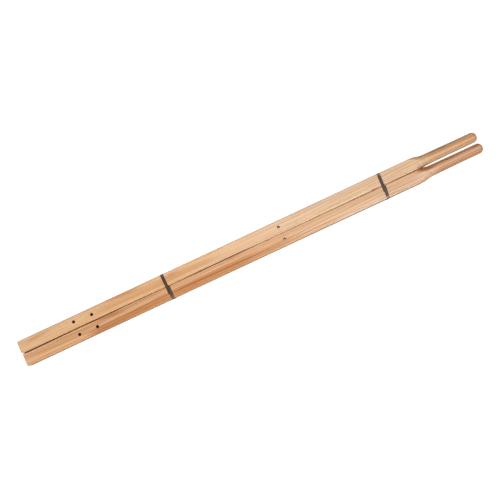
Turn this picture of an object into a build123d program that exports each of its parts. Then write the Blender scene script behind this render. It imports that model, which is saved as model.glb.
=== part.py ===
"""A pair of 60 inch hardwood wheelbarrow handles, held together by two welded plastic straps.

Units are millimetres. +X runs from the wheel end to the grips, +Y to the right of someone who
holds the grips and faces the wheel, +Z up. The origin is under the middle of the bundle, on the
ground. The left handle is the one on the -Y side.
"""

import os
from math import copysign, hypot
from typing import NamedTuple

from build123d import *

# Handle blank
HANDLE_LENGTH = 1524.0  # 60 in
HANDLE_WIDTH = 40.0  # across the bundle, close to 1 9/16 in
HANDLE_THICKNESS = 38.1  # 1 1/2 in
EDGE_RADIUS = 2.4  # every edge of the blank is eased
FRONT_CORNER = 3.5  # corners of the sawn front, seen from above
WORN_CORNER = 7.0  # the right handle's one next to the seam, more worn than the others
SEAM_GAP = 0.5  # between two rough faces that don't quite meet
STAGGER = 1.9  # the left handle lies this much further back than the right one

# Turned grip
SHOULDER_FROM_FRONT = 1328.0  # where the turning first bites the blank's outer face
SHOULDER_SLOPE = 0.25  # fall in radius for each millimetre along the shoulder
FLARE_DIAMETER = 34.0  # grip at the foot of the shoulder
FLARE_LENGTH = 115.0  # from there to the parallel grip
GRIP_DIAMETER = 31.75  # 1 1/4 in
GRIP_LEAN = 1.5  # each grip's axis is this much nearer the seam than its blank's middle
SHOULDER_BLEND = 80.0  # radius where the shoulder meets the flare
FLARE_BLEND = 400.0  # radius where the flare meets the parallel grip
TIP_RADIUS = 13.5  # rounding of the grip's end
TURNING_ALLOWANCE = 1.0  # the turned outline starts this far outside the blank's corners


class BoltHole(NamedTuple):
    """A hole through the thickness: where its centre is, and its diameter."""

    from_front: float
    shift: float  # from the handle's middle, to +Y
    spread: float  # then this much further from the seam
    diameter: float


BOLT_HOLES = [
    BoltHole(from_front=184.1, shift=1.7, spread=1.0, diameter=9.3),  # wheel bracket, front bolt
    BoltHole(from_front=243.3, shift=-0.4, spread=0.2, diameter=9.3),  # wheel bracket, rear bolt
    BoltHole(from_front=867.3, shift=-0.7, spread=0.0, diameter=8.7),  # leg and tray bolt
]
HOLE_RIM = 0.4  # small chamfer at both mouths of a hole


class StrapLay(NamedTuple):
    """How a strap lies: distances from the front, sideways skews, and where its ends are."""

    right_side: float  # centre line on the +Y face, from the bundle's mean front
    left_side: float  # centre line on the -Y face, from the bundle's mean front
    inner_skew: float  # shift along X from the right side to the inner end
    outer_skew: float  # shift along X from the left side to the outer end
    inner_end: float  # distance of the inner end from the -Y face
    outer_end: float  # distance of the outer end from the seam, towards -Y


STRAP_WIDTH = 10.0
STRAP_THICKNESS = 0.6
RAMP_LENGTH = 6.0  # run over which the outer end climbs onto the inner end
RAMP_LEAD = 0.5  # the climb ends this far ahead of the inner end
RAMP_BEND = 6.0  # bend radius at both ends of the climb
PAST_BEND = 1.0  # a strap stays square to the handles for this far past each bend
FRONT_STRAP = StrapLay(
    right_side=485.1, left_side=488.9, inner_skew=1.3, outer_skew=0.9, inner_end=15.7, outer_end=1.5
)
REAR_STRAP = StrapLay(
    right_side=1205.4, left_side=1202.4, inner_skew=-3.2, outer_skew=3.3, inner_end=21.2, outer_end=3.0
)

# Worked out from the sizes above
FRONT_X = -HANDLE_LENGTH / 2  # mean of the two handles' fronts
WOOD_BOTTOM = STRAP_THICKNESS
WOOD_TOP = WOOD_BOTTOM + HANDLE_THICKNESS
AXIS_Z = WOOD_BOTTOM + HANDLE_THICKNESS / 2
HANDLE_Y = (HANDLE_WIDTH + SEAM_GAP) / 2
BUNDLE_HALF = HANDLE_WIDTH + SEAM_GAP / 2
RUN_HALF = BUNDLE_HALF - EDGE_RADIUS - PAST_BEND  # half of a strap's run across the bundle
STRAP_Y = BUNDLE_HALF + STRAP_THICKNESS / 2  # middle of the strap's thickness, beside the wood
STRAP_TOP_Z = WOOD_TOP + STRAP_THICKNESS / 2
STRAP_BOTTOM_Z = STRAP_THICKNESS / 2
STRAP_BEND = EDGE_RADIUS + STRAP_THICKNESS / 2


def turned_envelope(front_x, axis_y):
    """The round body that a blank is turned down to, square-ended at the front."""
    corner_reach = hypot(HANDLE_WIDTH / 2 + GRIP_LEAN, HANDLE_THICKNESS / 2) + TURNING_ALLOWANCE
    outer_reach = HANDLE_WIDTH / 2 + GRIP_LEAN
    flare_radius = FLARE_DIAMETER / 2
    grip_radius = GRIP_DIAMETER / 2
    shoulder_start = SHOULDER_FROM_FRONT - (corner_reach - outer_reach) / SHOULDER_SLOPE
    shoulder_foot = SHOULDER_FROM_FRONT + (outer_reach - flare_radius) / SHOULDER_SLOPE
    with BuildPart(mode=Mode.PRIVATE) as envelope:
        with BuildSketch(Plane((front_x, axis_y, AXIS_Z), x_dir=(1, 0, 0), z_dir=(0, -1, 0))):
            with BuildLine():
                turned = FilletPolyline(
                    (0, corner_reach),
                    (shoulder_start, corner_reach),
                    (shoulder_foot, flare_radius),
                    (shoulder_foot + FLARE_LENGTH, grip_radius),
                    (HANDLE_LENGTH, grip_radius),
                    (HANDLE_LENGTH, 0),
                    radius=[0, SHOULDER_BLEND, FLARE_BLEND, TIP_RADIUS],
                )
                Polyline(turned @ 1, (0, 0), turned @ 0)
            make_face()
        revolve(axis=Axis((front_x, axis_y, AXIS_Z), (1, 0, 0)))
    return envelope.part


def handle(side, label):
    """One handle on the given side, -1 or 1: an eased blank, bored, with a turned grip."""
    middle_x = -copysign(STAGGER / 2, side)
    middle_y = copysign(HANDLE_Y, side)
    front_x = FRONT_X + middle_x
    with BuildPart() as body:
        with BuildSketch(Plane.XY.offset(WOOD_BOTTOM)):
            with Locations((middle_x, middle_y)):
                Rectangle(HANDLE_LENGTH, HANDLE_WIDTH)
        extrude(amount=HANDLE_THICKNESS)
        left_corner, right_corner = body.edges().filter_by(Axis.Z).group_by(Axis.X)[0].sort_by(Axis.Y)
        fillet(left_corner, WORN_CORNER if side > 0 else FRONT_CORNER)
        fillet(right_corner, FRONT_CORNER)
        fillet(body.faces().filter_by(Axis.Z).edges(), EDGE_RADIUS)
        add(turned_envelope(front_x, middle_y - copysign(GRIP_LEAN, side)), mode=Mode.INTERSECT)
        for bolt in BOLT_HOLES:
            centre_y = middle_y + bolt.shift + copysign(bolt.spread, side)
            with Locations((front_x + bolt.from_front, centre_y, WOOD_TOP)):
                Hole(bolt.diameter / 2)
            mouths = body.edges(Select.LAST).filter_by(GeomType.CIRCLE)
            chamfer(mouths, HOLE_RIM)
    body.part.label = label
    return body.part


def ribbon(*centres):
    """The outline of a strap seen from above, round the points of its centre line."""
    half = STRAP_WIDTH / 2
    return [(x - half, y) for x, y in centres] + [(x + half, y) for x, y in reversed(centres)]


def stretch(side_points, bends, plan_centres):
    """A stretch of strap: its side view, carried across and cut to its outline from above."""
    with BuildPart(mode=Mode.PRIVATE) as piece:
        with BuildSketch(Plane.YZ):
            with BuildLine():
                FilletPolyline(*side_points, radius=bends)
            trace(line_width=STRAP_THICKNESS)
        extrude(amount=HANDLE_LENGTH, both=True)
        with BuildSketch(Plane.XY):
            with BuildLine():
                Polyline(*ribbon(*plan_centres), close=True)
            make_face()
        extrude(amount=2 * WOOD_TOP, mode=Mode.INTERSECT)
    return piece.part


def strap(lay, label):
    """One strap: a closed loop whose outer end lies welded on its inner end, on top."""
    right_x = FRONT_X + lay.right_side
    left_x = FRONT_X + lay.left_side
    inner_end_y = lay.inner_end - BUNDLE_HALF
    ramp_top_y = inner_end_y - RAMP_LEAD
    lap_z = STRAP_TOP_Z + STRAP_THICKNESS
    beside = STRAP_Y + STRAP_THICKNESS
    right_stretch = stretch(
        [
            (inner_end_y, STRAP_TOP_Z),
            (STRAP_Y, STRAP_TOP_Z),
            (STRAP_Y, STRAP_BOTTOM_Z),
            (RUN_HALF, STRAP_BOTTOM_Z),
        ],
        STRAP_BEND,
        [(right_x, beside), (right_x, RUN_HALF), (right_x + lay.inner_skew, inner_end_y)],
    )
    left_stretch = stretch(
        [
            (-RUN_HALF, STRAP_BOTTOM_Z),
            (-STRAP_Y, STRAP_BOTTOM_Z),
            (-STRAP_Y, STRAP_TOP_Z),
            (ramp_top_y - RAMP_LENGTH, STRAP_TOP_Z),
            (ramp_top_y, lap_z),
            (-lay.outer_end, lap_z),
        ],
        [STRAP_BEND, STRAP_BEND, RAMP_BEND, RAMP_BEND],
        [(left_x, -beside), (left_x, -RUN_HALF), (left_x + lay.outer_skew, -lay.outer_end)],
    )
    with BuildPart() as body:
        with BuildSketch(Plane.XY):
            with BuildLine():
                Polyline(*ribbon((left_x, -RUN_HALF), (right_x, RUN_HALF)), close=True)
            make_face()
        extrude(amount=STRAP_THICKNESS)
        add(right_stretch)
        add(left_stretch)
    body.part.label = label
    return body.part


os.makedirs("parts", exist_ok=True)
left_handle = handle(-1, "left_handle")
right_handle = handle(1, "right_handle")
front_strap = strap(FRONT_STRAP, "front_strap")
rear_strap = strap(REAR_STRAP, "rear_strap")
for piece in (left_handle, right_handle, front_strap, rear_strap):
    export_step(piece, f"parts/{piece.label}.step")
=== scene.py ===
"""Looks for the pair of strapped wheelbarrow handles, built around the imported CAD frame.

+X runs to the grips, the left handle is on the -Y side, and the straps rest on z = 0. The camera,
lights and floor are in metres. The handles and straps are worked out in millimetres, and turned
into metres where a mesh is written.
"""

import math
import random
from typing import NamedTuple

import bmesh
import bpy
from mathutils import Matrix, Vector, noise


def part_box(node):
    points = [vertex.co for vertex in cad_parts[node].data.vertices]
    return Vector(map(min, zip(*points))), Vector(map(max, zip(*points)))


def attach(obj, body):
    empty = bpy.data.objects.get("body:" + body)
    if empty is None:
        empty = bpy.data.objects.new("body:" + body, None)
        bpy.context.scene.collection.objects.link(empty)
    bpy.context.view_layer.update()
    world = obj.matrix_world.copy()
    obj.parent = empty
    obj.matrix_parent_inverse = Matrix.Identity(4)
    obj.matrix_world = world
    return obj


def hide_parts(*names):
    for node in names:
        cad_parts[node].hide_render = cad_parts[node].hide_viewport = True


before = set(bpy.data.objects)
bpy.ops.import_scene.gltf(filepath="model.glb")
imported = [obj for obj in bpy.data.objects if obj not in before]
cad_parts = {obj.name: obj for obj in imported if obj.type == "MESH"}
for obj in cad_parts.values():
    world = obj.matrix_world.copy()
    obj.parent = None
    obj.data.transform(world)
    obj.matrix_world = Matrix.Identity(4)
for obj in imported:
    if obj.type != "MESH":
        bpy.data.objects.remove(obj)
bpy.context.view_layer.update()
scene = bpy.context.scene
MM = 0.001

# ---------------------------------------------------------------- camera
CAMERA_AT = (0.0514, -0.2738, 2.5541)
CAMERA_TURN = (4.9973, 3.659, -24.815)  # degrees about X, Y and Z

camera_data = bpy.data.cameras.new("camera")
camera_data.lens = 60.5
camera_data.sensor_width = 36.0
camera_data.clip_end = 60.0
camera = bpy.data.objects.new("camera", camera_data)
camera.location = CAMERA_AT
camera.rotation_euler = [math.radians(a) for a in CAMERA_TURN]
scene.collection.objects.link(camera)
scene.camera = camera
scene.view_settings.view_transform = "Standard"

# ---------------------------------------------------------------- light
AMBIENT = 0.17  # strength of the white surround as a light; the camera sees it at full white
WHITE = (1, 1, 1, 1)

world = bpy.data.worlds.new("world")
world.use_nodes = True
wn = world.node_tree.nodes
wl = world.node_tree.links
wn.clear()
lit = wn.new("ShaderNodeBackground")
lit.inputs["Color"].default_value = WHITE
lit.inputs["Strength"].default_value = AMBIENT
seen = wn.new("ShaderNodeBackground")
seen.inputs["Color"].default_value = WHITE
seen.inputs["Strength"].default_value = 1.0
path = wn.new("ShaderNodeLightPath")
pick = wn.new("ShaderNodeMixShader")
out = wn.new("ShaderNodeOutputWorld")
wl.new(path.outputs["Is Camera Ray"], pick.inputs["Fac"])
wl.new(lit.outputs[0], pick.inputs[1])
wl.new(seen.outputs[0], pick.inputs[2])
wl.new(pick.outputs[0], out.inputs["Surface"])
scene.world = world


def softbox(name, position, size_x, size_y, watts):
    """A rectangular soft light aimed at the middle of the bundle."""
    data = bpy.data.lights.new(name, "AREA")
    data.shape = "RECTANGLE"
    data.size = size_x
    data.size_y = size_y
    data.energy = watts
    lamp = bpy.data.objects.new(name, data)
    lamp.location = position
    lamp.rotation_euler = (-Vector(position)).to_track_quat("-Z", "Y").to_euler()
    lamp.visible_camera = False
    scene.collection.objects.link(lamp)


softbox("key", (0.16, -0.70, 2.7), 3.6, 0.9, 71)
softbox("overhead", (0.78, 0.30, 2.7), 1.3, 0.8, 9)
softbox("fill", (0.0, -2.4, 0.9), 3.0, 0.8, 13)


# ---------------------------------------------------------------- node helpers
class Graph:
    """A material's node tree, with short calls for the nodes used here."""

    def __init__(self, name):
        self.material = bpy.data.materials.new(name)
        self.material.use_nodes = True
        self.nodes = self.material.node_tree.nodes
        self.links = self.material.node_tree.links
        self.shader = self.nodes["Principled BSDF"]

    def put(self, socket, value):
        """Links a socket or sets a constant."""
        if isinstance(value, bpy.types.NodeSocket):
            self.links.new(value, socket)
        else:
            socket.default_value = value

    def math(self, operation, a, b=None, c=None, clamp=False):
        node = self.nodes.new("ShaderNodeMath")
        node.operation = operation
        node.use_clamp = clamp
        for socket, value in zip(node.inputs, (a, b, c)):
            if value is not None:
                self.put(socket, value)
        return node.outputs[0]

    def vector(self, x, y, z):
        node = self.nodes.new("ShaderNodeCombineXYZ")
        for socket, value in zip(node.inputs, (x, y, z)):
            self.put(socket, value)
        return node.outputs[0]

    def split(self, value):
        node = self.nodes.new("ShaderNodeSeparateXYZ")
        self.put(node.inputs[0], value)
        return node.outputs[0], node.outputs[1], node.outputs[2]

    def noise(self, at, detail=2.0, roughness=0.5, color=False):
        node = self.nodes.new("ShaderNodeTexNoise")
        self.put(node.inputs["Vector"], at)
        node.inputs["Scale"].default_value = 1.0
        node.inputs["Detail"].default_value = detail
        node.inputs["Roughness"].default_value = roughness
        return node.outputs["Color" if color else "Fac"]

    def step(self, value, low, high, to_low=0.0, to_high=1.0):
        """A smooth step of value from low to high."""
        node = self.nodes.new("ShaderNodeMapRange")
        node.interpolation_type = "SMOOTHSTEP"
        self.put(node.inputs["Value"], value)
        self.put(node.inputs["From Min"], low)
        self.put(node.inputs["From Max"], high)
        self.put(node.inputs["To Min"], to_low)
        self.put(node.inputs["To Max"], to_high)
        return node.outputs["Result"]

    def mix(self, factor, a, b, blend="MIX"):
        node = self.nodes.new("ShaderNodeMix")
        node.data_type = "RGBA"
        node.blend_type = blend
        self.put(node.inputs[0], factor)
        self.put(node.inputs[6], a)
        self.put(node.inputs[7], b)
        return node.outputs[2]

    def bump(self, height, distance, strength):
        node = self.nodes.new("ShaderNodeBump")
        node.inputs["Strength"].default_value = strength
        node.inputs["Distance"].default_value = distance
        self.put(node.inputs["Height"], height)
        return node.outputs[0]


def srgb(r, g, b):
    """A screen colour, 0 to 255, as the linear colour that the shader wants."""
    def linear(c):
        c /= 255
        return c / 12.92 if c <= 0.04045 else ((c + 0.055) / 1.055) ** 2.4
    return (linear(r), linear(g), linear(b), 1.0)


# ---------------------------------------------------------------- floor
FLOOR_HALF = 14.0
FLOOR_DROP = 0.0002  # below the straps
FLOOR_GREY = (0.34, 0.34, 0.34, 1)  # what it returns of the light
FLOOR_GLOW = 0.98  # what the camera sees on top of that
SHADOW_UNDER_BUNDLE = (0.62, 0.47, 0.37, 1)
UNDER_HALF_X = (0.53, 0.55)  # that painted shadow is full inside the first and gone outside the second
UNDER_HALF_Y = (0.028, 0.034)


def make_floor():
    """A plain white floor that returns a soft part of the light.

    It has a painted shadow under the bundle, dim and warm, which shows only through the bolt holes
    and the seam.
    """
    floor = Graph("floor_white")
    x, y, _ = floor.split(floor.nodes.new("ShaderNodeNewGeometry").outputs["Position"])

    def inside(value, limits):
        full, gone = limits
        return floor.step(floor.math("ABSOLUTE", value), gone, full)

    # painted shadow: the floor's glow is dimmed and warmed under the bundle
    under = floor.math("MULTIPLY", inside(y, UNDER_HALF_Y), inside(x, UNDER_HALF_X))
    floor.shader.inputs["Base Color"].default_value = FLOOR_GREY
    floor.shader.inputs["Roughness"].default_value = 0.9
    floor.shader.inputs["Specular IOR Level"].default_value = 0.0
    glow = floor.nodes.new("ShaderNodeEmission")
    floor.put(glow.inputs["Color"], floor.mix(under, WHITE, SHADOW_UNDER_BUNDLE))
    glow.inputs["Strength"].default_value = FLOOR_GLOW
    both = floor.nodes.new("ShaderNodeAddShader")
    blend = floor.nodes.new("ShaderNodeMixShader")
    ray = floor.nodes.new("ShaderNodeLightPath")
    output = next(n for n in floor.nodes if n.type == "OUTPUT_MATERIAL")
    floor.links.new(floor.shader.outputs[0], both.inputs[0])
    floor.links.new(glow.outputs[0], both.inputs[1])
    floor.links.new(ray.outputs["Is Camera Ray"], blend.inputs["Fac"])
    floor.links.new(floor.shader.outputs[0], blend.inputs[1])
    floor.links.new(both.outputs[0], blend.inputs[2])
    floor.links.new(blend.outputs[0], output.inputs["Surface"])
    mesh = bpy.data.meshes.new("floor")
    half = FLOOR_HALF
    corners = [(-half, -half, 0), (half, -half, 0), (half, half, 0), (-half, half, 0)]
    mesh.from_pydata(corners, [], [(0, 1, 2, 3)])
    plane = bpy.data.objects.new("floor", mesh)
    plane.location.z = -FLOOR_DROP
    mesh.materials.append(floor.material)
    scene.collection.objects.link(plane)


make_floor()

# ---------------------------------------------------------------- sizes read from the frame, in mm
LEFT_LOW, LEFT_HIGH = (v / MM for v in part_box("left_handle"))
RIGHT_LOW, RIGHT_HIGH = (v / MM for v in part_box("right_handle"))
FRONT_STRAP_LOW, FRONT_STRAP_HIGH = (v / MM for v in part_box("front_strap"))
REAR_STRAP_LOW, REAR_STRAP_HIGH = (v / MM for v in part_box("rear_strap"))
AXIS_Z_MM = (LEFT_LOW.z + LEFT_HIGH.z) / 2
MEAN_FRONT_MM = (LEFT_LOW.x + RIGHT_LOW.x) / 2


# ---------------------------------------------------------------- handles
def smooth_curve(points):
    """A smooth function through a few (position, value) pairs, level at both ends."""
    def at(x):
        if x <= points[0][0]:
            return points[0][1]
        for (x0, y0), (x1, y1) in zip(points, points[1:]):
            if x <= x1:
                t = (x - x0) / (x1 - x0)
                return y0 + (y1 - y0) * t * t * (3 - 2 * t)
        return points[-1][1]
    return at


# how far each handle is out of straight, to +Y, by distance from its front: they come closest
# between the straps, spread at the fronts, and both lean to +Y at the grips
RIGHT_BOW = smooth_curve([
    (0, 0.55), (420, 0.0), (760, -0.22), (930, -0.2), (1190, 0.0), (1420, 0.42), (1524, 0.42),
])
LEFT_BOW = smooth_curve([
    (0, -0.55), (420, 0.0), (760, 0.18), (930, 0.18), (1190, 0.0), (1330, -0.15), (1524, 0.3),
])

FIRST_CUT = 5.0  # from the handle's front
CUT_STEP = 6.0
LAST_CUT = 2.0  # no cut is nearer the tip than this
ROUNDED = 2.6  # how far in from the blank's corner its rounding is still worn, in |y| + |z|
UNWORN_FRONT = 6.0  # the wear starts this far from the front
WEAR = 0.10  # mean wear of the long edges
WEAR_SWING = 0.14
WEAR_LONG = 22  # size of a worn patch along the handle
WEAR_ROUND = 9  # and across it
DENTS = 26
DENT_PLACE = (20, 1300)
DENT_HALF = (3, 11)
DENT_DEPTH = (0.15, 0.7)
DENT_REACH = 2.5  # in half lengths
LONG_EDGES = [(1, 1), (1, -1), (-1, 1), (-1, -1)]


def edge_dents(seed):
    """Small dents along the long edges: (x, which edge, half length, depth)."""
    rng = random.Random(seed)
    return [
        (
            rng.uniform(*DENT_PLACE), rng.choice(LONG_EDGES),
            rng.uniform(*DENT_HALF), rng.uniform(*DENT_DEPTH),
        )
        for _ in range(DENTS)
    ]


def slice_across(work, low, high):
    """Cuts a handle across, all along, each time through only what is ahead of the last cut."""
    cut = low.x + FIRST_CUT
    ahead = work.faces[:]
    while cut < high.x - LAST_CUT:
        verts = dict.fromkeys(v for f in ahead for v in f.verts)  # each once, always in this order
        edges = dict.fromkeys(e for f in ahead for e in f.edges)
        done = bmesh.ops.bisect_plane(
            work, geom=[*verts, *edges, *ahead],
            plane_co=(cut * MM, 0, 0), plane_no=(1, 0, 0), dist=1e-7,
        )
        faces = (item for item in done["geom"] if isinstance(item, bmesh.types.BMFace))
        ahead = [face for face in faces if face.calc_center_bounds().x > cut * MM]
        cut += CUT_STEP


def handle_piece(node_name, low, high, bow, seed, material):
    """The CAD handle's own skin, cut across often enough to bend and to carry small dents."""
    work = bmesh.new()
    work.from_mesh(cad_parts[node_name].data)
    bmesh.ops.remove_doubles(work, verts=work.verts, dist=2e-6)
    slice_across(work, low, high)
    centre_y = (low.y + high.y) / 2
    half_y = (high.y - low.y) / 2
    half_z = (high.z - low.z) / 2
    dents = edge_dents(seed)
    for vert in work.verts:
        x, y, z = vert.co / MM
        from_front = x - low.x
        dy = y - centre_y
        dz = z - AXIS_Z_MM
        # 0 on the flats and 1 on the rounded long edges of the blank
        edge = max(0.0, min(1.0, abs(dy) + abs(dz) - half_y - half_z + ROUNDED))
        if edge > 0 and from_front > UNWORN_FRONT:
            patch = Vector((x / WEAR_LONG, seed + dy / WEAR_ROUND, dz / WEAR_ROUND))
            inward = WEAR + WEAR_SWING * noise.noise(patch)
            for at, (side_y, side_z), half, depth in dents:
                off = from_front - at
                if side_y * dy > 0 and side_z * dz > 0 and abs(off) < DENT_REACH * half:
                    inward += depth * math.exp(-(off / half) ** 2)
            dy -= math.copysign(inward * edge, dy)
            dz -= math.copysign(inward * edge, dz)
        vert.co = Vector((x, centre_y + dy + bow(from_front), AXIS_Z_MM + dz)) * MM
    mesh = bpy.data.meshes.new(node_name + "_wood")
    work.to_mesh(mesh)
    work.free()
    for name in ("custom_normal", "sharp_edge"):
        if name in mesh.attributes:
            mesh.attributes.remove(mesh.attributes[name])
    mesh.shade_smooth()
    mesh.set_sharp_from_angle(angle=math.radians(32))
    mesh.materials.clear()
    mesh.materials.append(material)
    piece = bpy.data.objects.new(node_name + "_wood", mesh)
    scene.collection.objects.link(piece)
    flats = piece.modifiers.new("flat faces stay flat", "WEIGHTED_NORMAL")
    flats.keep_sharp = True
    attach(piece, "root")
    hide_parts(node_name)


# ---------------------------------------------------------------- wood
class BoltHole(NamedTuple):
    """One of the holes that each handle has."""

    from_front: float
    shift: float  # from the handle's middle, to +Y
    spread: float  # then this much further from the seam
    radius: float


BOLT_HOLES = [
    BoltHole(184.1, 1.7, 1.0, 4.65),
    BoltHole(243.3, -0.4, 0.2, 4.65),
    BoltHole(867.3, -0.7, 0.0, 4.35),
]
WALL_SOFT = 0.45  # the painted hole shade fades out over this much round a hole
GRIP_LEAN = 1.5  # each grip's axis is this much nearer the seam than its blank's middle
PITH_DRIFT = 16.0  # how far the rings' middle wanders
TOP_FACE = 19.0  # height of the upper face above the handle's axis
WOOD_GRAIN_DEPTH = 0.00012  # in metres


class Streak(NamedTuple):
    """A band of colour along the grain on the upper face, fading with depth below it: wood stains,
    and in some uses painted shade.
    """

    start: float  # from the handle's front
    end: float
    fade: float  # each end is this soft
    y_start: float  # from the handle's middle
    y_end: float
    half: float  # half width
    soft: float  # edge beyond that
    depth: float  # where a streak's middle fades out
    stain_and_shade: tuple
    amount: float


class Timber(NamedTuple):
    """What one handle's wood is like."""

    pith: tuple  # where the rings centre in the handle's section, (y, z)
    tilt: tuple  # how far that moves for each mm along the handle
    spacing: float  # of the rings
    light: tuple
    dark: tuple  # early wood
    contrast: float
    drift: tuple  # slow changes of the light colour
    seed: float


def wood(name, low, high, side, timber, streaks):
    """Straight-grained hardwood as a solid texture, in millimetres round one handle's axis."""
    g = Graph(name)
    seed = timber.seed
    coords = g.nodes.new("ShaderNodeTexCoord").outputs["Object"]
    x, y, z = g.split(coords)
    x = g.math("MULTIPLY", x, 1 / MM)
    y = g.math("MULTIPLY_ADD", y, 1 / MM, -(low.y + high.y) / 2)
    z = g.math("MULTIPLY_ADD", z, 1 / MM, -AXIS_Z_MM)
    from_front = g.math("SUBTRACT", x, low.x)

    def stretched(along, across, offset=0.0):
        """A lookup point whose features are along mm long and across mm wide."""
        return g.vector(
            g.math("MULTIPLY_ADD", x, 1 / along, seed + offset),
            g.math("MULTIPLY", y, 1 / across),
            g.math("MULTIPLY", z, 1 / across),
        )

    def length(a, b):
        return g.math("SQRT", g.math("ADD", g.math("MULTIPLY", a, a), g.math("MULTIPLY", b, b)))

    def from_pith(value, middle, tilt, wander):
        straight = g.math("ADD", g.math("MULTIPLY_ADD", x, -tilt, -middle), value)
        return g.math("MULTIPLY_ADD", wander, PITH_DRIFT, straight)

    # growth rings: distance from a wandering pith, with ring widths that vary
    slow_y, slow_z = g.split(g.noise(stretched(360, 60), 2, 0.5, color=True))[1:]
    quick = g.noise(stretched(60, 8, 3.1), 2, 0.6)
    ry = from_pith(y, timber.pith[0], timber.tilt[0], slow_y)
    rz = from_pith(z, timber.pith[1], timber.tilt[1], slow_z)
    distance = g.math("MULTIPLY_ADD", quick, 1.3, length(ry, rz))
    pace = g.noise(g.vector(g.math("MULTIPLY", distance, 0.09), seed, 0.0), 2)
    phase = g.math("MULTIPLY_ADD", pace, 6.0, g.math("DIVIDE", distance, timber.spacing))
    ring = g.math("FRACT", phase)
    early = g.math("MULTIPLY", g.step(ring, 0.0, 0.12), g.step(ring, 0.16, 0.70, 1.0, 0.0))
    strength = g.noise(g.vector(g.math("MULTIPLY", g.math("FLOOR", phase), 1.7), seed, 7.7), 1)
    early = g.math("MULTIPLY", early, g.step(strength, 0.34, 0.66, 0.15, 1.0))

    # pores and fibres, long and thin, and slower bands of colour
    pores = g.step(g.noise(stretched(7, 0.40, 11.0), 1, 0.5), 0.58, 0.72)
    pores = g.math("MULTIPLY", pores, g.math("MULTIPLY_ADD", early, 0.8, 0.2))
    fibre = g.noise(stretched(55, 1.1, 5.0), 4, 0.7)
    band = g.noise(stretched(520, 6, 8.3), 3, 0.6)
    wide = g.noise(stretched(280, 30, 2.2), 3, 0.55)
    line = g.noise(stretched(190, 1.9, 21.0), 2, 0.5)

    colour = g.mix(g.step(wide, 0.36, 0.64), timber.light, timber.drift)
    colour = g.mix(g.math("MULTIPLY", early, timber.contrast), colour, timber.dark)
    colour = g.mix(g.step(band, 0.52, 0.74, 0.0, 0.50), colour, STREAK_ORANGE)
    colour = g.mix(g.step(line, 0.60, 0.74, 0.0, 0.60), colour, STREAK_BROWN)
    tone = g.math("MULTIPLY_ADD", fibre, 0.50, 0.75)
    colour = g.mix(1.0, colour, g.vector(tone, tone, tone), "MULTIPLY")
    colour = g.mix(g.math("MULTIPLY", pores, 0.5), colour, PORE_BROWN)

    below_top = g.math("MAXIMUM", g.math("SUBTRACT", TOP_FACE, z), 0.0)
    uneven = g.math("MULTIPLY_ADD", fibre, 1.3, 0.35)
    for streak in streaks:
        start, end, fade = streak.start, streak.end, streak.fade
        half, soft = streak.half, streak.soft
        run = g.math("DIVIDE", g.math("SUBTRACT", from_front, start), end - start)
        middle = g.math("MULTIPLY_ADD", run, streak.y_end - streak.y_start, streak.y_start)
        wander = g.math("MULTIPLY_ADD", g.noise(stretched(120, 30, start), 2), 5.0, -2.5)
        off = g.math("ABSOLUTE", g.math("SUBTRACT", g.math("ADD", y, wander), middle))
        off = g.math("MULTIPLY_ADD", below_top, (half + soft) / streak.depth, off)
        mask = g.step(off, half, half + soft, 1.0, 0.0)
        mask = g.math("MULTIPLY", mask, g.step(from_front, start - fade, start + fade))
        mask = g.math("MULTIPLY", mask, g.step(from_front, end - fade, end + fade, 1.0, 0.0))
        mask = g.math("MULTIPLY", mask, uneven)
        colour = g.mix(g.math("MULTIPLY", mask, streak.amount, clamp=True), colour, streak.stain_and_shade)

    # painted sheen: the blank is paler towards the grips, standing in for the light's sheen on the
    # finish there;
    # the turned wood takes more of the finish
    colour = g.mix(g.step(from_front, 560.0, 1130.0), colour, PAINTED_SHEEN_TINT, "MULTIPLY")
    radius = length(g.math("ADD", y, side * GRIP_LEAN), z)
    turned = g.step(from_front, 1318.0, 1392.0)
    turned = g.math("MULTIPLY", turned, g.step(radius, 17.2, 19.4, 1.0, 0.0))
    colour = g.mix(turned, colour, TURNED_TINT, "MULTIPLY")

    # the sawn front drinks the finish and shows saw marks, and so does the turned tip's end grain
    normal_x = g.split(g.nodes.new("ShaderNodeNewGeometry").outputs["Normal"])[0]
    end_grain = g.step(g.math("ABSOLUTE", normal_x), 0.55, 0.95)
    saw = g.noise(g.vector(0.0, g.math("MULTIPLY", y, 0.12), g.math("MULTIPLY", z, 1.4)), 2, 0.6)
    colour = g.mix(g.math("MULTIPLY", end_grain, 0.5), colour, END_BROWN)

    # partly handling and milling marks, partly painted shade: the long edges are darkened here and
    # there, standing in for the shade on their roundings. The smaller of |y| and |z| is large only
    # near a long edge
    flat_y = g.math("ABSOLUTE", y)
    flat_z = g.math("ABSOLUTE", z)
    larger = g.math("MAXIMUM", flat_y, flat_z)
    smaller = g.math("SUBTRACT", g.math("ADD", flat_y, flat_z), larger)
    rubbed_and_shaded = g.step(g.noise(stretched(40, 12, 17.0), 3), 0.42, 0.62)
    rubbed_and_shaded = g.math("MULTIPLY", g.step(smaller, 17.4, 19.2), rubbed_and_shaded)
    colour = g.mix(g.math("MULTIPLY", rubbed_and_shaded, 0.30), colour, STREAK_BROWN)

    # drilled walls: rough, and painted dark brown as the shade inside the bolt holes
    wall = 0.0
    for bolt in BOLT_HOLES:
        across = g.math("SUBTRACT", y, bolt.shift + side * bolt.spread)
        away = length(g.math("SUBTRACT", from_front, bolt.from_front), across)
        wall = g.math("ADD", g.step(away, bolt.radius, bolt.radius + WALL_SOFT, 1.0, 0.0), wall)
    colour = g.mix(wall, colour, HOLE_SHADE_BROWN)

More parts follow.
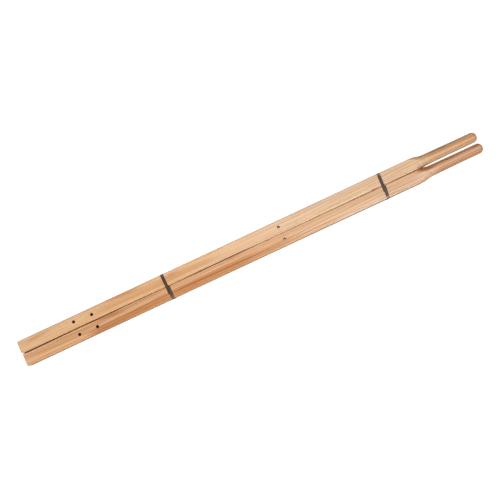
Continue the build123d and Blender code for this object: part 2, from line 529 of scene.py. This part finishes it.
    g.put(g.shader.inputs["Base Color"], colour)
    rough = g.math("MULTIPLY_ADD", fibre, 0.16, 0.38)
    rough = g.math("MULTIPLY_ADD", pores, 0.25, rough)
    rough = g.math("MULTIPLY_ADD", g.math("MAXIMUM", end_grain, wall), 0.25, rough)
    g.put(g.shader.inputs["Roughness"], rough)
    g.shader.inputs["Specular IOR Level"].default_value = 0.42
    height = g.math("MULTIPLY_ADD", pores, -1.0, g.math("MULTIPLY", fibre, 0.5))
    height = g.math("MULTIPLY_ADD", early, -0.25, height)
    height = g.math("MULTIPLY_ADD", g.math("MULTIPLY", saw, end_grain), 2.0, height)
    g.put(g.shader.inputs["Normal"], g.bump(height, WOOD_GRAIN_DEPTH, 0.6))
    return g.material


STREAK_ORANGE = srgb(199, 131, 73)
STREAK_BROWN = srgb(160, 98, 54)
STREAK_RED = srgb(196, 124, 90)
STREAK_RUST = srgb(172, 104, 54)
STREAK_AND_SHADE_UMBER = srgb(172, 110, 58)
# painted shade for the seam between the two handles
SEAM_SHADE_BROWN = srgb(142, 82, 38)
SEAM_SHADE_DARK = srgb(104, 58, 28)
PALE_PINK = srgb(240, 206, 176)
PORE_BROWN = srgb(128, 80, 44)
END_BROWN = srgb(158, 108, 68)
HOLE_SHADE_BROWN = srgb(94, 50, 24)
TURNED_TINT = (0.84, 0.74, 0.65, 1.0)
PAINTED_SHEEN_TINT = (0.98, 1.11, 1.34, 1.0)


def seam_shade_streaks(seam_y):
    """Painted shade: a dark line along the seam, on the side of each handle that meets the other,
    where the narrow gap between the handles lies in shade.
    """
    return [
        Streak(-40, 350, 30, seam_y, seam_y, 1.3, 1.8, 60.0, SEAM_SHADE_BROWN, 0.90),
        Streak(350, 760, 50, seam_y, seam_y, 0.9, 1.5, 50.0, SEAM_SHADE_DARK, 0.80),
        Streak(1090, 1330, 40, seam_y, seam_y, 0.6, 1.4, 50.0, SEAM_SHADE_BROWN, 0.50),
    ]


# start, end, fade, y at start, y at end, half width, soft edge, depth, colour of the stains and of
# the painted shade, amount
LEFT_STREAKS = [
    *seam_shade_streaks(20.2),
    Streak(60, 240, 50, 16.0, 10.0, 0.5, 1.5, 14.0, STREAK_BROWN, 0.35),
    Streak(90, 250, 40, 11.5, 5.0, 0.4, 1.4, 12.0, STREAK_BROWN, 0.30),
    Streak(245, 330, 30, 17.5, 11.0, 3.0, 5.0, 20.0, STREAK_RUST, 0.60),
    Streak(300, 470, 60, 12.0, 15.0, 0.8, 3.0, 14.0, STREAK_BROWN, 0.40),
    Streak(225, 480, 35, -14.0, -5.0, 5.5, 5.0, 28.0, STREAK_ORANGE, 1.0),
    Streak(225, 500, 40, -17.0, -14.0, 2.5, 5.0, 28.0, STREAK_RUST, 0.40),
    Streak(205, 330, 30, -6.0, -3.0, 0.8, 3.0, 14.0, STREAK_RUST, 0.55),
    Streak(330, 470, 40, -6.0, -2.5, 0.6, 2.0, 14.0, STREAK_BROWN, 0.80),
    Streak(470, 770, 60, -7.0, -7.5, 9.0, 5.0, 30.0, STREAK_ORANGE, 1.0),
    Streak(760, 900, 60, -9.0, -8.0, 5.0, 7.0, 26.0, STREAK_ORANGE, 0.75),
    Streak(480, 800, 60, -4.0, -6.5, 0.8, 2.2, 14.0, STREAK_BROWN, 1.0),
    Streak(300, 480, 60, -17.0, -15.0, 1.5, 3.0, 20.0, STREAK_ORANGE, 0.55),
    Streak(688, 722, 16, 16.0, 17.5, 1.8, 3.0, 14.0, STREAK_RED, 0.75),
    Streak(860, 1190, 80, -4.0, 6.0, 0.5, 1.6, 12.0, STREAK_BROWN, 0.55),
    Streak(900, 1260, 80, -11.0, -3.0, 0.5, 1.6, 12.0, STREAK_BROWN, 0.50),
    Streak(960, 1300, 80, -15.0, -9.0, 0.4, 1.5, 12.0, STREAK_BROWN, 0.45),
    # painted shade on the inner shoulder beside the seam, which turns away from the light
    Streak(1312, 1366, 16, 18.0, 13.0, 6.0, 4.0, 40.0, STREAK_AND_SHADE_UMBER, 1.0),
    # this and the next: brown bands on the grip's two flanks, partly grain and partly painted
    # shade where the round grip turns away from the light
    Streak(1350, 1540, 30, 13.0, 12.5, 1.5, 4.5, 24.0, STREAK_RUST, 0.60),
    Streak(1370, 1540, 30, -10.0, -9.5, 1.5, 3.5, 24.0, STREAK_RUST, 0.55),
    Streak(1340, 1540, 30, 4.0, 6.0, 0.5, 2.0, 14.0, STREAK_RUST, 0.40),
    Streak(1390, 1540, 40, -4.0, -3.0, 1.5, 3.0, 14.0, STREAK_ORANGE, 0.55),
    Streak(1030, 1190, 50, -15.0, -13.0, 4.0, 6.0, 30.0, PALE_PINK, 0.30),
    Streak(1190, 1320, 40, 0.0, -2.0, 5.0, 6.0, 24.0, STREAK_BROWN, 0.16),
    Streak(20, 230, 30, 3.0, -1.0, 0.5, 1.6, 12.0, STREAK_BROWN, 0.30),
    Streak(40, 230, 30, -2.0, -5.0, 0.4, 1.5, 12.0, STREAK_BROWN, 0.25),
]
RIGHT_STREAKS = [
    *seam_shade_streaks(-20.2),
    Streak(30, 95, 25, 8.0, 11.0, 3.0, 5.0, 15.0, STREAK_ORANGE, 0.45),
    Streak(250, 520, 50, 2.0, -1.0, 4.0, 8.0, 24.0, STREAK_ORANGE, 0.42),
    Streak(305, 400, 35, 16.0, 11.0, 2.5, 5.0, 20.0, STREAK_ORANGE, 0.65),
    Streak(490, 530, 20, 4.0, 9.0, 3.0, 5.0, 15.0, STREAK_ORANGE, 0.45),
    Streak(1160, 1190, 14, -18.0, -17.0, 1.5, 3.0, 12.0, STREAK_ORANGE, 0.6),
    Streak(1010, 1330, 90, 0.0, 9.0, 0.5, 1.7, 12.0, STREAK_BROWN, 0.40),
    Streak(1060, 1330, 90, -9.0, 1.0, 0.5, 1.7, 12.0, STREAK_BROWN, 0.35),
    Streak(900, 1330, 70, 14.0, 12.0, 3.0, 6.0, 30.0, STREAK_BROWN, 0.22),
    Streak(490, 650, 40, 1.0, -3.0, 5.0, 6.0, 24.0, STREAK_ORANGE, 0.45),
    # painted shade on the inner shoulder beside the seam, which turns away from the light
    Streak(1318, 1362, 14, -19.0, -17.0, 3.0, 4.0, 40.0, STREAK_AND_SHADE_UMBER, 0.7),
    Streak(1350, 1540, 30, 3.0, 2.0, 1.0, 3.0, 14.0, STREAK_ORANGE, 0.55),
    Streak(1200, 1320, 50, -12.0, -14.0, 4.0, 6.0, 30.0, STREAK_ORANGE, 0.30),
    # this and the next: brown bands on the grip's two flanks, partly grain and partly painted
    # shade where the round grip turns away from the light
    Streak(1330, 1540, 30, -11.0, -10.0, 1.5, 3.5, 24.0, STREAK_RUST, 0.40),
    Streak(1340, 1440, 30, 10.0, 9.0, 1.5, 4.0, 24.0, STREAK_AND_SHADE_UMBER, 0.45),
]
LEFT_TIMBER = Timber(
    pith=(-58.0, -52.0), tilt=(0.016, -0.010), spacing=4.6,
    light=srgb(234, 180, 127), dark=srgb(172, 110, 64), contrast=0.76, drift=srgb(234, 184, 142),
    seed=4.0,
)
RIGHT_TIMBER = Timber(
    pith=(-74.0, -40.0), tilt=(0.012, 0.003), spacing=4.2,
    light=srgb(234, 185, 134), dark=srgb(200, 146, 98), contrast=0.55, drift=srgb(236, 192, 148),
    seed=37.0,
)
left_wood = wood("left_handle_ash", LEFT_LOW, LEFT_HIGH, -1, LEFT_TIMBER, LEFT_STREAKS)
right_wood = wood("right_handle_ash", RIGHT_LOW, RIGHT_HIGH, 1, RIGHT_TIMBER, RIGHT_STREAKS)
handle_piece("left_handle", LEFT_LOW, LEFT_HIGH, LEFT_BOW, 3, left_wood)
handle_piece("right_handle", RIGHT_LOW, RIGHT_HIGH, RIGHT_BOW, 8, right_wood)


# ---------------------------------------------------------------- straps
STRAP_WIDTH = 10.0
STRAP_THICKNESS = 0.6
BEND = 2.7  # of the strap's middle, round an edge of the wood
RAMP = 6.0  # run, and bend radius, of the outer end's climb onto the inner end
RAMP_LEAD = 0.5  # the climb ends this far ahead of the inner end
STEP = 0.32  # of the mesh, fine enough for the embossing
DIAMOND = 1.9  # embossing pitch
EMBOSS = 0.11
LAP_LENGTH = 17.0  # the welded lap is pressed nearly smooth over this much of each end
LAP_EMBOSS = 0.35  # of the embossing elsewhere
RIM_WIDTH = 0.45
RIM_TOP = 0.16  # how far the rims roll in on the outside
RIM_BOTTOM = 0.10  # and on the inside
END_RIM = 0.3  # length of the rim at each end
SKIN = 0.02  # both faces stay this far inside the CAD strap
RIPPLE = 0.03
EDGE_WAVE = 0.06


class StrapLay(NamedTuple):
    """How a strap lies: distances from the front, sideways skews, and where its ends are."""

    right_side: float  # centre line on the +Y face, from the bundle's mean front
    left_side: float  # centre line on the -Y face, from the bundle's mean front
    inner_skew: float  # shift along X from the right side to the inner end
    outer_skew: float  # shift along X from the left side to the outer end
    inner_end: float  # distance of the inner end from the -Y face
    outer_end: float  # distance of the outer end from the seam, towards -Y


def rounded(corners, radii):
    """Points every STEP or so along straight runs joined by arcs, in the (y, z) plane."""
    points = [Vector(corners[0])]

    def walk(to):
        start = points[-1]
        count = max(1, round((to - start).length / STEP))
        points.extend(start.lerp(to, (i + 1) / count) for i in range(count))

    for before, corner, after, radius in zip(corners, corners[1:], corners[2:], radii):
        before, corner, after = Vector(before), Vector(corner), Vector(after)
        into = (corner - before).normalized()
        out_of = (after - corner).normalized()
        turn = math.acos(max(-1.0, min(1.0, into.dot(out_of))))
        reach = radius * math.tan(turn / 2)
        walk(corner - into * reach)
        side = math.copysign(1.0, into.x * out_of.y - into.y * out_of.x)
        centre = corner - into * reach + Vector((-into.y, into.x)) * side * radius
        arm = points[-1] - centre
        steps = max(2, round(radius * turn / STEP))
        for i in range(1, steps + 1):
            angle = side * turn * i / steps
            turned = Vector((
                arm.x * math.cos(angle) - arm.y * math.sin(angle),
                arm.x * math.sin(angle) + arm.y * math.cos(angle),
            ))
            points.append(centre + turned)
    walk(Vector(corners[-1]))
    return points


def grid_faces(rows, columns):
    """The faces of a closed ribbon, whose points come row by row, outer and inner in turn."""
    def vertex(i, j, inner):
        return (i * (columns + 1) + j) * 2 + inner

    faces = []
    last = rows - 1
    for i in range(last):
        n = i + 1
        for j in range(columns):
            m = j + 1
            faces.append((vertex(i, j, 0), vertex(n, j, 0), vertex(n, m, 0), vertex(i, m, 0)))
            faces.append((vertex(i, j, 1), vertex(i, m, 1), vertex(n, m, 1), vertex(n, j, 1)))
        j = columns
        faces.append((vertex(i, 0, 0), vertex(i, 0, 1), vertex(n, 0, 1), vertex(n, 0, 0)))
        faces.append((vertex(i, j, 0), vertex(n, j, 0), vertex(n, j, 1), vertex(i, j, 1)))
    i = last
    for j in range(columns):
        m = j + 1
        faces.append((vertex(0, j, 0), vertex(0, m, 0), vertex(0, m, 1), vertex(0, j, 1)))
        faces.append((vertex(i, j, 0), vertex(i, j, 1), vertex(i, m, 1), vertex(i, m, 0)))
    return faces


def strap_piece(node_name, low, high, lay, material, seed):
    """One strap: a ribbon from its inner end, round both handles and over that end again."""
    half_thick = STRAP_THICKNESS / 2
    beside = high.y - half_thick
    bottom = low.z + half_thick
    top = high.z - 3 * half_thick
    lap = high.z - half_thick
    inner_y = lay.inner_end + low.y + STRAP_THICKNESS
    ramp_y = inner_y - RAMP_LEAD
    path = rounded(
        [
            (inner_y, top), (beside, top), (beside, bottom), (-beside, bottom), (-beside, top),
            (ramp_y - RAMP, top), (ramp_y, lap), (-lay.outer_end, lap),
        ],
        [BEND, BEND, BEND, BEND, RAMP, RAMP],
    )
    run = [0.0]
    for a, b in zip(path, path[1:]):
        run.append(run[-1] + (b - a).length)
    total = run[-1]

    # where the strap's middle is along X: it is square to the handles at the sides, and skewed
    # between them
    right_x = MEAN_FRONT_MM + lay.right_side
    left_x = MEAN_FRONT_MM + lay.left_side
    square = beside - 2 * BEND
    x_of = []
    for (y, z), far in zip(path, run):
        on_top = z > (top + bottom) / 2
        if on_top and far < total / 2:  # the inner end
            t = min(1.0, max(0.0, (square - y) / (square - inner_y)))
            x_of.append(right_x + lay.inner_skew * t)
        elif on_top:  # the outer end
            t = min(1.0, max(0.0, (y + square) / (square - lay.outer_end)))
            x_of.append(left_x + lay.outer_skew * t)
        else:
            t = min(1.0, max(0.0, (square - y) / (2 * square)))
            x_of.append(right_x + (left_x - right_x) * t)

    columns = round(STRAP_WIDTH / STEP)
    points = []
    for i, (point, far) in enumerate(zip(path, run)):
        ahead = path[min(i + 1, len(path) - 1)] - path[max(i - 1, 0)]
        ahead.normalize()
        outward = Vector((ahead.y, -ahead.x)) * -1.0
        near_end = min(far, total - far)
        pressed = LAP_EMBOSS if near_end < LAP_LENGTH else 1.0
        for j in range(columns + 1):
            u = -STRAP_WIDTH / 2 + STRAP_WIDTH * j / columns
            a = abs(math.sin(math.pi * (far + u) / DIAMOND))
            b = abs(math.sin(math.pi * (far - u) / DIAMOND))
            rim = max(0.0, 1.0 - (STRAP_WIDTH / 2 - abs(u)) / RIM_WIDTH)
            shallow = EMBOSS * pressed * (1.0 - min(a, b) ** 0.6) + RIM_TOP * rim * rim
            if near_end < END_RIM:
                shallow = max(shallow, RIM_TOP)
            ripple = RIPPLE * noise.noise(Vector((far / 9, u / 5, seed)))
            up = half_thick - SKIN - shallow - abs(ripple)
            down = -half_thick + SKIN + RIM_BOTTOM * rim * rim
            wave = EDGE_WAVE * noise.noise(Vector((far / 14, math.copysign(3.0, u), seed)))
            for offset in (up, down):
                place = point + outward * offset
                points.append(((x_of[i] + u * (1 + wave / 5)) * MM, place.x * MM, place.y * MM))

    mesh = bpy.data.meshes.new(node_name + "_plastic")
    mesh.from_pydata(points, [], grid_faces(len(path), columns))
    work = bmesh.new()
    work.from_mesh(mesh)
    bmesh.ops.recalc_face_normals(work, faces=work.faces)
    work.to_mesh(mesh)
    work.free()
    mesh.shade_smooth()
    mesh.set_sharp_from_angle(angle=math.radians(50))
    mesh.materials.append(material)
    piece = bpy.data.objects.new(node_name + "_plastic", mesh)
    scene.collection.objects.link(piece)
    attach(piece, "root")
    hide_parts(node_name)


STRAP_BLACK = srgb(68, 48, 34)
STRAP_DUST = srgb(88, 66, 50)
STRAP_SCUFF = srgb(104, 84, 68)
STRAP_BEND_HIGHLIGHT = srgb(166, 146, 130)
STRAP_GRAIN_DEPTH = 0.00004  # in metres


def strap_plastic():
    """Black polypropylene strapping: a little dusty, and scuffed, with painted highlights at the
    bends. Positions are in metres.
    """
    g = Graph("strap_black")
    coords = g.nodes.new("ShaderNodeTexCoord").outputs["Object"]
    x, y, z = g.split(coords)

    def scaled(along, across):
        return g.vector(
            g.math("MULTIPLY", x, along),
            g.math("MULTIPLY", y, across),
            g.math("MULTIPLY", z, across),
        )

    dust = g.noise(scaled(180.0, 60.0), 4, 0.65)
    fine = g.noise(scaled(900.0, 500.0), 2)
    colour = g.mix(g.step(dust, 0.40, 0.70), STRAP_BLACK, STRAP_DUST)
    colour = g.mix(g.step(fine, 0.55, 0.75, 0.0, 0.35), colour, STRAP_SCUFF)
    # painted highlight: the plastic is lighter where it bends over the bundle's edges, more so on
    # the rear strap, standing in for the glint of the light there and partly for stress whitening
    # of the plastic
    off_middle = g.math("ABSOLUTE", g.math("SUBTRACT", z, AXIS_Z_MM * MM))
    at_side = g.step(g.math("ABSOLUTE", y), 0.030, 0.037)
    bend_highlight = g.math("MULTIPLY", at_side, g.step(off_middle, 0.010, 0.016))
    bend_highlight = g.math("MULTIPLY", bend_highlight, g.step(x, -0.1, 0.1, 0.25, 0.80))
    bend_highlight = g.math("MULTIPLY", bend_highlight, g.step(dust, 0.36, 0.60))
    colour = g.mix(bend_highlight, colour, STRAP_BEND_HIGHLIGHT)
    g.put(g.shader.inputs["Base Color"], colour)
    g.put(g.shader.inputs["Roughness"], g.math("MULTIPLY_ADD", dust, 0.30, 0.26))
    g.shader.inputs["Specular IOR Level"].default_value = 0.26
    g.put(g.shader.inputs["Normal"], g.bump(fine, STRAP_GRAIN_DEPTH, 0.5))
    return g.material


FRONT_LAY = StrapLay(485.1, 488.9, 1.3, 0.9, 15.7, 1.5)
REAR_LAY = StrapLay(1205.4, 1202.4, -3.2, 3.3, 21.2, 3.0)
plastic = strap_plastic()
strap_piece("front_strap", FRONT_STRAP_LOW, FRONT_STRAP_HIGH, FRONT_LAY, plastic, 1.0)
strap_piece("rear_strap", REAR_STRAP_LOW, REAR_STRAP_HIGH, REAR_LAY, plastic, 6.0)
